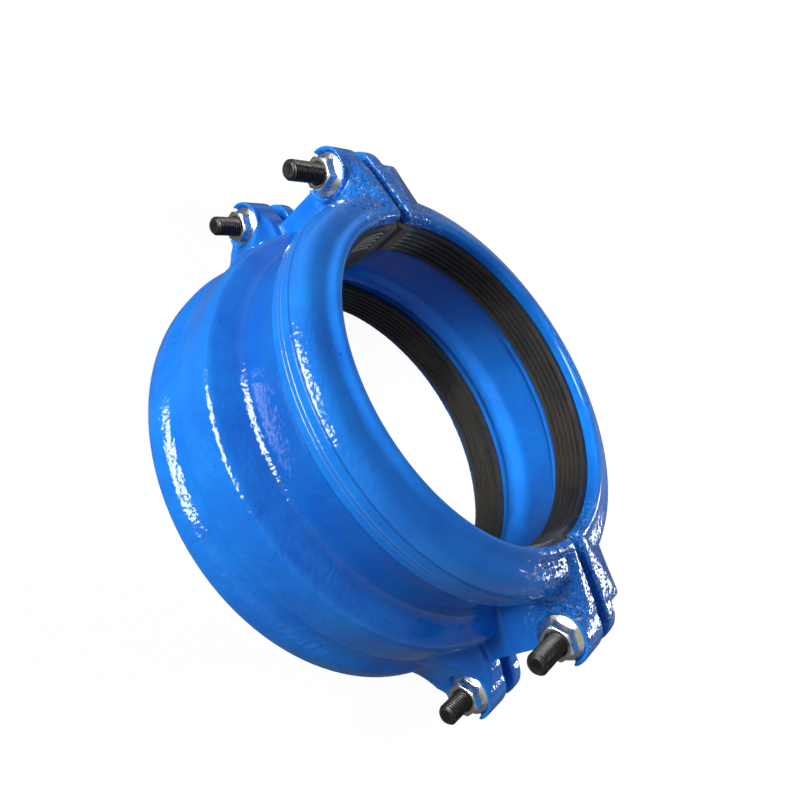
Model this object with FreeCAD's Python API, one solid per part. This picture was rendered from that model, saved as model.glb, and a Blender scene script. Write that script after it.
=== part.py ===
import FreeCAD, Part
import math
import os

from FreeCAD import Vector

# A reducing repair coupling: two cast half shells that are bolted together around
# the ends of two pipes of different outside diameter. Each half holds one rubber
# gasket, moulded in one piece: a ribbed band for each pipe, joined along both
# parting faces by side bars. Four track bolts pass through lugs on the shells,
# with their heads on one half and flange nuts on the other.
#
# +Z runs along the pipes, from the wide mouth (z = 0) to the narrow mouth.
# The bolts run along X, with their nuts on the -X side. The lugs are at +Y and -Y.
# All sizes are in millimetres.

# Pipes
upper_pipe_radius = 100.0
lower_pipe_radius = 111.0

# Lengths along the pipes, from the wide mouth up
lower_lip = 9.0
lower_band_width = 24.0
middle_length = 59.0
upper_band_width = 22.0
upper_lip = 9.0

# Room between the iron and the pipe
upper_lip_clearance = 2.5
lower_lip_clearance = 9.0
inner_rib_clearance = 4.0
shelf_clearance = 4.0
bore_relief = 5.0

# Rubber
upper_rib_count = 6
lower_rib_count = 7
band_depth = 18.0
rib_groove_depth = 1.8
rib_land_share = 0.46
seat_slack = 0.15
bar_width = 12.5
bar_depth = 9.5
bar_overlap = 3.0
end_pad_length = 11.0
end_notch = 3.5

# Iron walls
upper_wall = 8.5
lower_wall = 11.0
neck_wall = 6.5
mouth_chamfer = 2.0

# Bead around the wide mouth, and the groove and crest beside it
bead_height = 4.5
bead_length = 13.0
bead_back = 9.0
bead_foot_round = 3.0
bead_top_round = 5.0
groove_length = 9.0
groove_depth = 1.4
groove_round = 9.0
crest_rise = 0.6
crest_round = 14.0

# Shoulder from the wide collar to the neck
shoulder_height = 23.0
shoulder_slope = 7.0
shoulder_round = 6.5
neck_foot_round = 10.0
neck_round = 6.5

# Narrow collar: its back, its crease and its bulging front
collar_step = 4.5
collar_back_slope = 3.5
collar_back_round = 2.2
crease_width = 1.2
crease_depth = 0.5
crest_width = 14.0
front_fall = 7.5
front_depth = 5.5
front_round = 9.0
lip_width = 3.0
lip_height = 3.2
lip_foot = 2.5
lip_round = 1.3

# Ridge and rib inside the shell
shelf_length = 4.0
ridge_length = 17.0
ridge_depth = 5.0
ridge_flank = 6.0
ridge_round = 3.5
ridge_to_bore = 4.0
inner_rib_length = 6.5
inner_rib_round = 3.0

# Gaps between the two halves, as first fitted
parting_gap = 9.0
rubber_gap = 1.0

# Lugs. Those of the bolt half are thinner, with wider flares.
bolt_offset = 20.5
upper_bolt_drop = 3.0
boss_radius = 16.0
boss_trim_radius = 13.6
trim_margin = 2.0
seat_reach = 21.0
head_seat_reach = 14.0
rim_height = 4.0
spotface_radius = 13.8
root_drop = 1.5
root_bury = 10.0
web_drop = 8.0
head_web_drop = 3.0
web_edge = 6.0
web_rise = 14.0
lug_edge_round = 3.0
upper_flare_round = 22.0
head_flare_round = 97.0
lower_flare_round = 60.0
crown_flat = 8.0
crown_fall = 21.0
crown_round = 14.0
upper_underhang = 21.5
underside_draft = 2.0
lower_overhang = 3.0
foot_margin = 0.6

# Bolts and nuts, M12
bolt_radius = 6.0
bolt_hole_clearance = 1.0
upper_bolt_length = 68.0
lower_bolt_length = 62.0
head_radius = 12.3
head_height = 7.0
head_edge = 2.4
neck_half_length = 8.5
neck_depth = 5.0
neck_clearance = 0.2
tip_chamfer = 1.2
nut_clearance = 0.05
nut_flats = 18.0
nut_height = 10.0
nut_flange_radius = 13.0
nut_flange_edge = 1.6
nut_flange_rise = 1.4
nut_chamfer = 1.6
nut_turn = 14.0

# Levels along Z
lower_band_top = lower_lip + lower_band_width
upper_band_bottom = lower_band_top + middle_length
upper_band_top = upper_band_bottom + upper_band_width
total_height = upper_band_top + upper_lip
rib_bottom = upper_band_bottom - inner_rib_length
shoulder_top = lower_band_top + shoulder_height
ridge_start = lower_band_top + shelf_length
ridge_end = ridge_start + ridge_length
collar_crest_top = upper_band_bottom + collar_back_slope + crest_width
lower_bolt_z = lower_lip + lower_band_width / 2
upper_bolt_z = upper_band_bottom + upper_band_width / 2 - upper_bolt_drop

# Radii
upper_pocket_radius = upper_pipe_radius + band_depth
lower_pocket_radius = lower_pipe_radius + band_depth
upper_collar_radius = upper_pocket_radius + upper_wall
lower_collar_radius = lower_pocket_radius + lower_wall
bead_radius = lower_collar_radius + bead_height
upper_lip_radius = upper_pipe_radius + upper_lip_clearance
lower_lip_radius = lower_pipe_radius + lower_lip_clearance
inner_rib_radius = upper_pipe_radius + inner_rib_clearance
shelf_radius = lower_pipe_radius + shelf_clearance
ridge_radius = shelf_radius - ridge_depth
bore_top_radius = inner_rib_radius + bore_relief
neck_low_radius = shelf_radius + neck_wall
neck_top_radius = upper_collar_radius - collar_step
mouth_rim_radius = upper_lip_radius + mouth_chamfer + lip_width

# Lug places, across the pipes and along the bolts
upper_bolt_y = upper_collar_radius + bolt_offset
lower_bolt_y = bead_radius + bolt_offset
web_y = upper_bolt_y + web_edge
upper_inner = upper_pocket_radius - root_bury
lower_inner = lower_pocket_radius - root_bury
under = upper_bolt_z - upper_underhang
over = lower_bolt_z + boss_radius + lower_overhang
flare_under = upper_band_bottom + collar_back_slope
half_gap = parting_gap / 2
half_rubber_gap = rubber_gap / 2

FAR = 2 * (lower_bolt_y + boss_radius)
MARGIN = 1.0
X_AXIS = Vector(1, 0, 0)
Y_AXIS = Vector(0, 1, 0)
Z_AXIS = Vector(0, 0, 1)
ORIGIN = Vector(0, 0, 0)


def line(start, end):
    return Part.LineSegment(start, end).toShape()


def arc(start, middle, end):
    return Part.Arc(start, middle, end).toShape()


def rz(radius, height):
    """A point of a turned section, in the plane that holds the pipe axis and +X."""
    return Vector(radius, 0, height)


def yz(across, height):
    """A point of a form seen along the bolts."""
    return Vector(0, across, height)


def rounded(corners):
    """The face inside a closed outline. Each corner is a point, or a point and the
    radius of its round, which takes at most half of the shorter side beside it."""
    corners = [corner if isinstance(corner, tuple) else (corner, 0) for corner in corners]
    arcs = []
    for index, (place, radius) in enumerate(corners):
        back = corners[index - 1][0] - place
        ahead = corners[(index + 1) % len(corners)][0] - place
        half_angle = back.getAngle(ahead) / 2
        reach = min(radius / math.tan(half_angle), back.Length / 2, ahead.Length / 2)
        bisector = back.normalize() + ahead.normalize()
        depth = reach / math.cos(half_angle) - reach * math.tan(half_angle)
        arcs.append((place + back * reach, place + bisector.normalize() * depth, place + ahead * reach))
    edges = []
    for index, (start, middle, end) in enumerate(arcs):
        if start != end:
            edges.append(arc(start, middle, end))
        following = arcs[(index + 1) % len(arcs)][0]
        if end.distanceToPoint(following) > Part.Precision.confusion():
            edges.append(line(end, following))
    return Part.Face(Part.Wire(edges))


def turned(corners):
    """A full turn of a section about the pipe axis."""
    return rounded(corners).revolve(ORIGIN, Z_AXIS, 360)


def along_x(face, length):
    return face.extrude(Vector(length, 0, 0))


def box(x0, x1, y0, y1, z0, z1):
    """A box between two corners."""
    return Part.makeBox(x1 - x0, y1 - y0, z1 - z0, Vector(x0, y0, z0))


def rod_x(radius, x0, x1, y, z):
    """A cylinder along X."""
    return Part.makeCylinder(radius, x1 - x0, Vector(x0, y, z), X_AXIS)


def mirrored_x(shape):
    return shape.mirror(ORIGIN, X_AXIS)


def mirrored_y(shape):
    return shape.mirror(ORIGIN, Y_AXIS)


def shell_outside():
    """The outer form of both halves as one turned solid, from the wide mouth up."""
    lower = lower_collar_radius
    upper = upper_collar_radius
    groove_radius = lower - groove_depth
    groove_bottom = bead_length + bead_back
    crease_end = collar_crest_top + crease_width
    return turned([
        rz(0, 0),
        (rz(bead_radius, 0), bead_foot_round),
        (rz(bead_radius, bead_length), bead_top_round),
        (rz(groove_radius, groove_bottom), groove_round),
        (rz(lower + crest_rise, groove_bottom + groove_length), crest_round),
        (rz(lower, shoulder_top), shoulder_round),
        (rz(neck_low_radius, shoulder_top + shoulder_slope), neck_foot_round),
        (rz(neck_top_radius, upper_band_bottom), neck_round),
        (rz(upper, upper_band_bottom + collar_back_slope), collar_back_round),
        rz(upper, collar_crest_top),
        rz(upper - crease_depth, collar_crest_top + crease_width / 2),
        (rz(upper, crease_end), front_round),
        (rz(upper - front_depth, crease_end + front_fall), front_round),
        (rz(mouth_rim_radius + lip_foot, total_height - lip_height), front_round / 2),
        (rz(mouth_rim_radius, total_height), lip_round),
        rz(0, total_height),
    ])


def shell_inside():
    """The room inside the shell, with the two gasket pockets, as one turned solid."""
    ridge_low = ridge_start + ridge_flank
    ridge_high = ridge_end - ridge_flank
    bore_start = ridge_end + ridge_to_bore
    return turned([
        rz(0, 0),
        rz(lower_lip_radius, 0),
        rz(lower_lip_radius, lower_lip),
        rz(lower_pocket_radius, lower_lip),
        rz(lower_pocket_radius, lower_band_top),
        rz(shelf_radius, lower_band_top),
        (rz(shelf_radius, ridge_start), ridge_round),
        (rz(ridge_radius, ridge_low), ridge_round),
        (rz(ridge_radius, ridge_high), ridge_round),
        (rz(shelf_radius, ridge_end), ridge_round),
        (rz(shelf_radius, bore_start), ridge_round),
        (rz(bore_top_radius, rib_bottom), inner_rib_round),
        rz(inner_rib_radius, rib_bottom),
        rz(inner_rib_radius, upper_band_bottom),
        rz(upper_pocket_radius, upper_band_bottom),
        rz(upper_pocket_radius, upper_band_top),
        rz(upper_lip_radius, upper_band_top),
        (rz(upper_lip_radius, total_height - mouth_chamfer), mouth_chamfer),
        rz(upper_lip_radius + mouth_chamfer, total_height),
        rz(0, total_height),
    ])


def lug_outlines():
    """The lugs of one side and the web between them, seen along the bolts, at +Y."""
    half = boss_radius / 2
    side = boss_radius - lug_edge_round
    upper_block = [
        yz(upper_inner, under),
        (yz(upper_bolt_y - lug_edge_round, under), lug_edge_round),
        (yz(upper_bolt_y + side, upper_bolt_z - half), lug_edge_round),
        (yz(upper_bolt_y + half, upper_bolt_z + side), lug_edge_round),
        (yz(upper_bolt_y - half, upper_bolt_z + boss_radius + trim_margin), boss_radius),
        yz(mouth_rim_radius - lip_width / 2, total_height),
    ]
    web = [
        yz(upper_inner, lower_bolt_z),
        yz(web_y, lower_bolt_z),
        (yz(web_y, under + lug_edge_round), lug_edge_round),
        yz(upper_inner, under + lug_edge_round),
    ]
    lower_block = [
        yz(lower_inner, foot_margin),
        (yz(lower_bolt_y - half, foot_margin), lug_edge_round),
        (yz(lower_bolt_y + side, lower_bolt_z - half), lug_edge_round),
        (yz(lower_bolt_y + half, lower_bolt_z + side), lug_edge_round),
        (yz(lower_bolt_y - half, over), boss_radius),
        yz(lower_inner, over),
    ]
    return [rounded(corners) for corners in (upper_block, web, lower_block)]


def flare_ends(seat, collar_radius, flare_round):
    """Where the round beside a lug meets its collar, its middle, and where it meets
    the lug's straight flank, seen along the pipes."""
    reach = collar_radius + flare_round
    across = seat - root_drop + flare_round
    centre = Vector(across, math.sqrt(reach ** 2 - across ** 2), 0)
    on_collar = centre * (collar_radius / reach)
    on_flank = centre - X_AXIS * flare_round
    bisector = (on_collar - centre).normalize() - X_AXIS
    return on_collar, centre + bisector.normalize() * flare_round, on_flank


def lug_plan_form(seat, collar_radius, inner, flare_round):
    """A lug seen along the pipes: straight at its bolt, and flared into its collar."""
    on_collar, middle, on_flank = flare_ends(seat, collar_radius, flare_round)
    corners = [on_flank, Vector(seat - root_drop, FAR, 0), Vector(0, FAR, 0), Vector(0, inner, 0),
               Vector(on_collar.x, inner, 0), on_collar]
    edges = [line(start, end) for start, end in zip(corners, corners[1:])]
    edges.append(arc(on_collar, middle, on_flank))
    return Part.Face(Part.Wire(edges)).extrude(Vector(0, 0, total_height))


def lug_side_form(seat, web_reach, flare_round):
    """How far the lugs reach from the parting face, seen across the pipes: a crown
    that falls away over the upper lug, a step under it, a thin web, and a smooth
    rise to the lower lug."""
    root_reach = seat - root_drop
    upper_flare = flare_ends(seat, upper_collar_radius, flare_round)[0].x
    lower_flare = flare_ends(seat, lower_collar_radius, lower_flare_round)[0].x
    rise_low = lower_bolt_z + boss_radius
    rise_round = web_rise / 2
    face = rounded([
        Vector(0, 0, -MARGIN),
        Vector(lower_flare, 0, -MARGIN),
        (Vector(lower_flare, 0, lower_bolt_z), boss_radius),
        (Vector(root_reach, 0, rise_low), rise_round),
        (Vector(web_reach, 0, rise_low + web_rise), rise_round),
        Vector(web_reach, 0, under - underside_draft),
        Vector(root_reach, 0, under),
        Vector(root_reach, 0, flare_under),
        Vector(upper_flare, 0, flare_under),
        Vector(upper_flare, 0, total_height - crown_fall),
        (Vector(crown_flat, 0, total_height), crown_round),
        Vector(0, 0, total_height),
    ])
    return face.extrude(Vector(0, FAR, 0))


def boss(y, z, seat, rim):
    """A bolt boss. The rim around its seat is open on the outer, lower side, so that
    a spanner reaches the nut."""
    top = seat + rim
    body = rod_x(boss_radius, 0, top, y, z)
    corner = box(seat, top + MARGIN, y, y + FAR, z - FAR, z)
    trim = box(half_gap + trim_margin, top + MARGIN, y, y + FAR, z - FAR, z)
    trim = trim.cut(rod_x(boss_trim_radius, 0, top + MARGIN, y, z))
    return body.cut(corner).cut(trim)


def lugs(seat, web_reach, flare_round, rim):
    """Both lugs and the web of the +X, +Y quarter. Outboard of the bolts nothing but
    the rims stands above the seats."""
    upper_block, web, lower_block = lug_outlines()
    upper_plan = lug_plan_form(seat, upper_collar_radius, upper_inner, flare_round)
    lower_plan = lug_plan_form(seat, lower_collar_radius, lower_inner, lower_flare_round)
    lug_plates = [along_x(upper_block, FAR).common(upper_plan), along_x(lower_block, FAR).common(lower_plan)]
    plate = along_x(web, web_reach).fuse(lug_plates).common(lug_side_form(seat, web_reach, flare_round))
    outboard = [box(seat, FAR, upper_bolt_y, FAR, under - MARGIN, FAR),
                box(seat, FAR, lower_bolt_y, FAR, -MARGIN, over + MARGIN)]
    bosses = [boss(upper_bolt_y, upper_bolt_z, seat, rim), boss(lower_bolt_y, lower_bolt_z, seat, rim)]
    return plate.cut(outboard).fuse(bosses)


def bar_edge(height, offset):
    """A point on the slanted outer edge of a side bar, moved out by an offset."""
    low = ridge_radius + bar_width
    high = inner_rib_radius + bar_width
    share = (height - lower_band_top) / middle_length
    return yz(low + (high - low) * share + offset, height)


def side_bar():
    """The gasket's side bar at +X, +Y, with its ends sunk into both bands, clear of
    the pipes that the bands hold."""
    low = lower_band_top - bar_overlap
    high = upper_band_bottom + bar_overlap
    step = lower_band_top - seat_slack
    sunk = lower_pipe_radius + bar_overlap
    corners = [yz(sunk, low), bar_edge(low, 0), bar_edge(high, 0), bar_edge(high, -bar_width),
               bar_edge(step, -bar_width), yz(sunk, step)]
    return along_x(rounded(corners), bar_depth)


def bar_pocket():
    """The room for a side bar in the shell, open to the inside."""
    low = lower_band_top
    high = upper_band_bottom
    corners = [yz(0, low), bar_edge(low, seat_slack), bar_edge(high, seat_slack), yz(0, high)]
    return along_x(rounded(corners), bar_depth + seat_slack)


def oval(half_length, radius, x0, x1, y, z):
    """An oval block along X, longer along Z."""
    straight = half_length - radius
    ends = [rod_x(radius, x0, x1, y, z + side * straight) for side in (1, -1)]
    return box(x0, x1, y - radius, y + radius, z - straight, z + straight).fuse(ends).removeSplitter()


def bolt_places():
    """The middles of the four bolts across the pipes and along them."""
    levels = ((upper_bolt_y, upper_bolt_z), (lower_bolt_y, lower_bolt_z))
    return [(side * y, z) for y, z in levels for side in (1, -1)]


def half_shell(holds_heads):
    """The shell at +X, with the seats of the nuts, or with those of the bolt heads,
    where the holes are oval."""
    if holds_heads:
        seat = head_seat_reach
        corner = lugs(seat, seat - head_web_drop, head_flare_round, 0)
    else:
        seat = seat_reach
        corner = lugs(seat, seat - web_drop, upper_flare_round, rim_height)
    body = shell_outside().fuse([corner, mirrored_y(corner)])
    body = body.common(box(half_gap, FAR, -FAR, FAR, -FAR, FAR))
    pocket = bar_pocket()
    body = body.cut([shell_inside(), pocket, mirrored_y(pocket)])
    neck_start = seat - neck_depth - neck_clearance
    for y, z in bolt_places():
        body = body.cut(rod_x(spotface_radius, seat, FAR, y, z))
        body = body.cut(rod_x(bolt_radius + bolt_hole_clearance, 0, FAR, y, z))
        if holds_heads:
            body = body.cut(oval(neck_half_length + neck_clearance, bolt_radius + neck_clearance,
                                 neck_start, seat, y, z))
    return body.removeSplitter()


def band(pipe_radius, count, bottom, width):
    """A ribbed gasket band, a full turn, with smooth stretches at the parting faces."""
    back = pipe_radius + band_depth - seat_slack
    low = bottom + seat_slack
    top = bottom + width - seat_slack
    pitch = (top - low) / count
    slope = pitch * (1 - rib_land_share) / 2
    groove = pipe_radius + rib_groove_depth
    corners = [rz(back, top), rz(back, low), rz(pipe_radius, low)]
    for index in range(1, count):
        middle = low + index * pitch
        corners += [rz(pipe_radius, middle - slope), rz(groove, middle), rz(pipe_radius, middle + slope)]
    corners.append(rz(pipe_radius, top))
    pads = turned([rz(pipe_radius, low), rz(back, low), rz(back, top), rz(pipe_radius, top)])
    pads = pads.common(box(-end_pad_length, end_pad_length, -FAR, FAR, -FAR, FAR))
    return turned(corners).fuse(pads)


def end_notches(pipe_radius, bottom, width):
    """What the two bevelled ends of a band leave out at the parting face."""
    inside = pipe_radius - MARGIN
    tip = Part.Face(Part.Wire(Part.makePolygon([
        Vector(half_rubber_gap - MARGIN, inside, bottom),
        Vector(half_rubber_gap + end_notch, inside, bottom),
        Vector(half_rubber_gap - MARGIN, pipe_radius + end_notch, bottom),
        Vector(half_rubber_gap - MARGIN, inside, bottom),
    ])))
    notch = tip.extrude(Vector(0, 0, width))
    return [notch, mirrored_y(notch)]


def gasket_half():
    """The one-piece gasket of the half at +X."""
    bar = side_bar()
    body = band(upper_pipe_radius, upper_rib_count, upper_band_bottom, upper_band_width)
    body = body.fuse(band(lower_pipe_radius, lower_rib_count, lower_lip, lower_band_width))
    body = body.fuse([bar, mirrored_y(bar)])
    body = body.common(box(half_rubber_gap, FAR, -FAR, FAR, -FAR, FAR))
    notches = end_notches(upper_pipe_radius, upper_band_bottom, upper_band_width)
    notches += end_notches(lower_pipe_radius, lower_lip, lower_band_width)
    return body.cut(notches).removeSplitter()


def cup_head(y, z):
    """A low domed bolt head that sits on the spot face at +X."""
    seat = Vector(head_seat_reach, y, z)
    rim = seat + Vector(0, head_radius, 0)
    edge = rim + Vector(head_edge, 0, 0)
    rise = head_height - head_edge
    dome_radius = (head_radius ** 2 + rise ** 2) / (2 * rise)
    half_turn = math.asin(head_radius / dome_radius) / 2
    crown = seat + Vector(head_height, 0, 0)
    middle = crown + Vector(dome_radius * (math.cos(half_turn) - 1), dome_radius * math.sin(half_turn), 0)
    section = [line(seat, rim), line(rim, edge), arc(edge, middle, crown), line(crown, seat)]
    return Part.Face(Part.Wire(section)).revolve(seat, X_AXIS, 360)


def track_bolt(length, y, z):
    """A cup head, an oval neck and a plain shank that ends at -X."""
    tip = head_seat_reach - length
    end = Part.makeCone(bolt_radius - tip_chamfer, bolt_radius, tip_chamfer, Vector(tip, y, z), X_AXIS)
    shank = rod_x(bolt_radius, tip + tip_chamfer, head_seat_reach, y, z)
    neck = oval(neck_half_length, bolt_radius, head_seat_reach - neck_depth, head_seat_reach, y, z)
    return cup_head(y, z).fuse([neck, shank, end]).removeSplitter()


def flange_nut(y, z):
    """A hexagon nut with a round flange, seated on the spot face at -X."""
    seat = Vector(-seat_reach, y, z)
    corner = nut_flats / math.sqrt(3)
    angles = [math.radians(60 * index + nut_turn) for index in range(7)]
    hexagon = [seat + Vector(0, corner * math.cos(angle), corner * math.sin(angle)) for angle in angles]
    prism = Part.Face(Part.Wire(Part.makePolygon(hexagon))).extrude(Vector(-nut_height, 0, 0))
    chamfer_radius = nut_flats / 2
    limit = rounded([
        seat,
        seat + Vector(0, corner + MARGIN, 0),
        seat + Vector(nut_chamfer - nut_height, corner + MARGIN, 0),
        seat + Vector(-nut_height, chamfer_radius, 0),
        seat + Vector(-nut_height, 0, 0),
    ]).revolve(seat, X_AXIS, 360)
    flange_top = nut_flange_edge + nut_flange_rise
    flange = rounded([
        seat,
        seat + Vector(0, nut_flange_radius, 0),
        seat + Vector(-nut_flange_edge, nut_flange_radius, 0),
        seat + Vector(-flange_top, chamfer_radius, 0),
        seat + Vector(-flange_top, 0, 0),
    ]).revolve(seat, X_AXIS, 360)
    bore = rod_x(bolt_radius + nut_clearance, -FAR, 0, y, z)
    return prism.common(limit).fuse(flange).cut(bore).removeSplitter()


def save(name, shape):
    solid = shape.Solids[0]
    print(name, "solids", len(shape.Solids), "valid", solid.isValid(), "volume", round(solid.Volume))
    solid.exportStep("parts/" + name + ".step")


def main():
    os.makedirs("parts", exist_ok=True)
    save("shell_bolt_half", half_shell(True))
    save("shell_nut_half", mirrored_x(half_shell(False)))
    gasket = gasket_half()
    save("gasket_bolt_half", gasket)
    save("gasket_nut_half", mirrored_x(gasket))
    names = ("upper_left", "upper_right", "lower_left", "lower_right")
    lengths = (upper_bolt_length, upper_bolt_length, lower_bolt_length, lower_bolt_length)
    for name, length, (y, z) in zip(names, lengths, bolt_places()):
        save("track_bolt_" + name, track_bolt(length, y, z))
        save("flange_nut_" + name, flange_nut(y, z))


main()
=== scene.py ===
"""The looks of a reducing repair coupling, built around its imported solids.

Two blue coated iron halves hold ribbed rubber gaskets. Black track bolts and
zinc plated flange nuts clamp them. Everything is in metres, with +Z along the
pipes towards the narrow mouth and the nuts on the -X side.
"""

from __future__ import annotations

import logging
import math
from dataclasses import dataclass, field
from enum import Enum
from functools import partial
from typing import Any, Callable, Sequence

import bpy
from bpy.types import Material, Node, NodeTree, Object
from mathutils import Matrix, Vector

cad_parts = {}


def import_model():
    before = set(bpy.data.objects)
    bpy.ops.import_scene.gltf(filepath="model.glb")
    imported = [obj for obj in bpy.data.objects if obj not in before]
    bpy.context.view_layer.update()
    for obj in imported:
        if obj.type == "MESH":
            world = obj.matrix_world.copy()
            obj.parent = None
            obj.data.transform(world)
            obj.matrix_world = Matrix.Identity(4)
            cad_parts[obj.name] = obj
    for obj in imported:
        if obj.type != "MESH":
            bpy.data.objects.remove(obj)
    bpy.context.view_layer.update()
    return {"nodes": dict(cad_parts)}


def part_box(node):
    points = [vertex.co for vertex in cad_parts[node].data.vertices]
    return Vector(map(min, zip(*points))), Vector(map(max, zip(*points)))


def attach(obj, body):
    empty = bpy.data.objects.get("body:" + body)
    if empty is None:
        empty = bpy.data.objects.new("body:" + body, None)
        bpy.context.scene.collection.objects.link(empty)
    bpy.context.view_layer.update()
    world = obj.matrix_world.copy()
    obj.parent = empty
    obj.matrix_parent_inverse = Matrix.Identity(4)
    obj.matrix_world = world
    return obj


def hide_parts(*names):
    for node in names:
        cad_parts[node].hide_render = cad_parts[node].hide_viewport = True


LOG = logging.getLogger("coupling")
MM = 0.001

Colour = tuple[float, float, float, float]
Point = tuple[float, float, float]
Span = tuple[float, float]
Socket = bpy.types.NodeSocket
Reach = float | Callable[[float], float]

WHITE: Colour = (1.0, 1.0, 1.0, 1.0)


class Half(Enum):
    """The two castings, named after what their lugs carry."""

    NUT = "nut_half"
    BOLT = "bolt_half"


class Corner(Enum):
    """The four bolts, by their level and side."""

    UPPER_LEFT = "upper_left"
    UPPER_RIGHT = "upper_right"
    LOWER_LEFT = "lower_left"
    LOWER_RIGHT = "lower_right"


class Mix(Enum):
    """What a mix node mixes: the indexes of its two inputs and of its output."""

    FLOAT = (2, 3, 0)
    RGBA = (6, 7, 2)


class NodeBench:
    """Places and joins the nodes of one shader tree."""

    def __init__(self, tree: NodeTree) -> None:
        """Starts on a tree.

        Args:
            tree: The tree of a material, a world or a group.
        """
        self.tree = tree

    def add(self, kind: str, settings: dict[str, Any] | None = None, **sockets: Any) -> Node:
        """Adds one node and sets or joins its inputs.

        Args:
            kind: The node's type without its ShaderNode prefix.
            settings: Values of the node's own properties.
            **sockets: Input values or output sockets to join, by the input's
                name with underscores for spaces.

        Returns:
            The new node.
        """
        node = self.tree.nodes.new("ShaderNode" + kind)
        for name, value in (settings or {}).items():
            setattr(node, name, value)
        for name, value in sockets.items():
            self.feed(node.inputs[name.replace("_", " ")], value)
        return node

    def feed(self, socket: Socket, value: Any) -> None:
        """Joins an output to an input, or sets the input's own value.

        Args:
            socket: The input.
            value: An output socket, a number or a colour.
        """
        if isinstance(value, Socket):
            self.tree.links.new(value, socket)
        else:
            socket.default_value = value

    def math(self, operation: str, first: Any, second: Any = 0.0) -> Socket:
        """One sum on two values.

        Args:
            operation: The name of the math node's operation.
            first: The first number or output.
            second: The second number or output.

        Returns:
            The output of the sum.
        """
        node = self.add("Math", {"operation": operation})
        self.feed(node.inputs[0], first)
        self.feed(node.inputs[1], second)
        return node.outputs[0]

    def product(self, first: Any, *others: Any) -> Socket:
        """Multiplies values together.

        Args:
            first: The first number or output.
            *others: The numbers or outputs that it is multiplied by.

        Returns:
            The output of the last sum.
        """
        for other in others:
            first = self.math("MULTIPLY", first, other)
        return first

    def largest(self, first: Any, *others: Any) -> Socket:
        """Picks the largest of some values.

        Args:
            first: The first number or output.
            *others: The numbers or outputs that it is compared with.

        Returns:
            The output of the last sum.
        """
        for other in others:
            first = self.math("MAXIMUM", first, other)
        return first

    def length(self, vector: Socket) -> Socket:
        """The length of a vector."""
        return self.add("VectorMath", {"operation": "LENGTH"}, Vector=vector).outputs["Value"]

    def ramp(self, value: Any, low: float, high: float, start: Any = 0.0, end: Any = 1.0) -> Socket:
        """A clamped smooth ramp between two levels of a value.

        Args:
            value: The number or output that is read.
            low: Where the ramp starts.
            high: Where the ramp ends.
            start: The result at and before the start.
            end: The result at and past the end.

        Returns:
            The output of the ramp.
        """
        node = self.add("MapRange", {"interpolation_type": "SMOOTHSTEP"})
        for index, item in enumerate((value, low, high, start, end)):
            self.feed(node.inputs[index], item)
        return node.outputs[0]

    def blend(self, share: Any, first: Any, second: Any, mix: Mix = Mix.RGBA) -> Socket:
        """Mixes two colours or numbers.

        Args:
            share: The share of the second one.
            first: The first colour, number or output.
            second: The second colour, number or output.
            mix: What the two are.

        Returns:
            The mixed colour or number.
        """
        node = self.add("Mix", {"data_type": mix.name})
        low, high, result = mix.value
        for index, item in ((0, share), (low, first), (high, second)):
            self.feed(node.inputs[index], item)
        return node.outputs[result]

    def relief(self, *layers: tuple[Any, float, Any]) -> Socket:
        """Lays bumps one on another.

        Args:
            *layers: The height, the depth and the strength of each bump, from
                the lowest to the topmost.

        Returns:
            The bent normal.
        """
        normal = None
        for height, depth, strength in layers:
            bump = self.add("Bump", Height=height, Distance=depth, Strength=strength)
            if normal is not None:
                self.feed(bump.inputs["Normal"], normal)
            normal = bump.outputs[0]
        return normal

    def group(self, tree: NodeTree, **sockets: Any) -> Node:
        """Places a shared group.

        Args:
            tree: The group's tree.
            **sockets: Input values or outputs to join, by the input's name.

        Returns:
            The group's node.
        """
        return self.add("Group", {"node_tree": tree}, **sockets)


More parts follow.
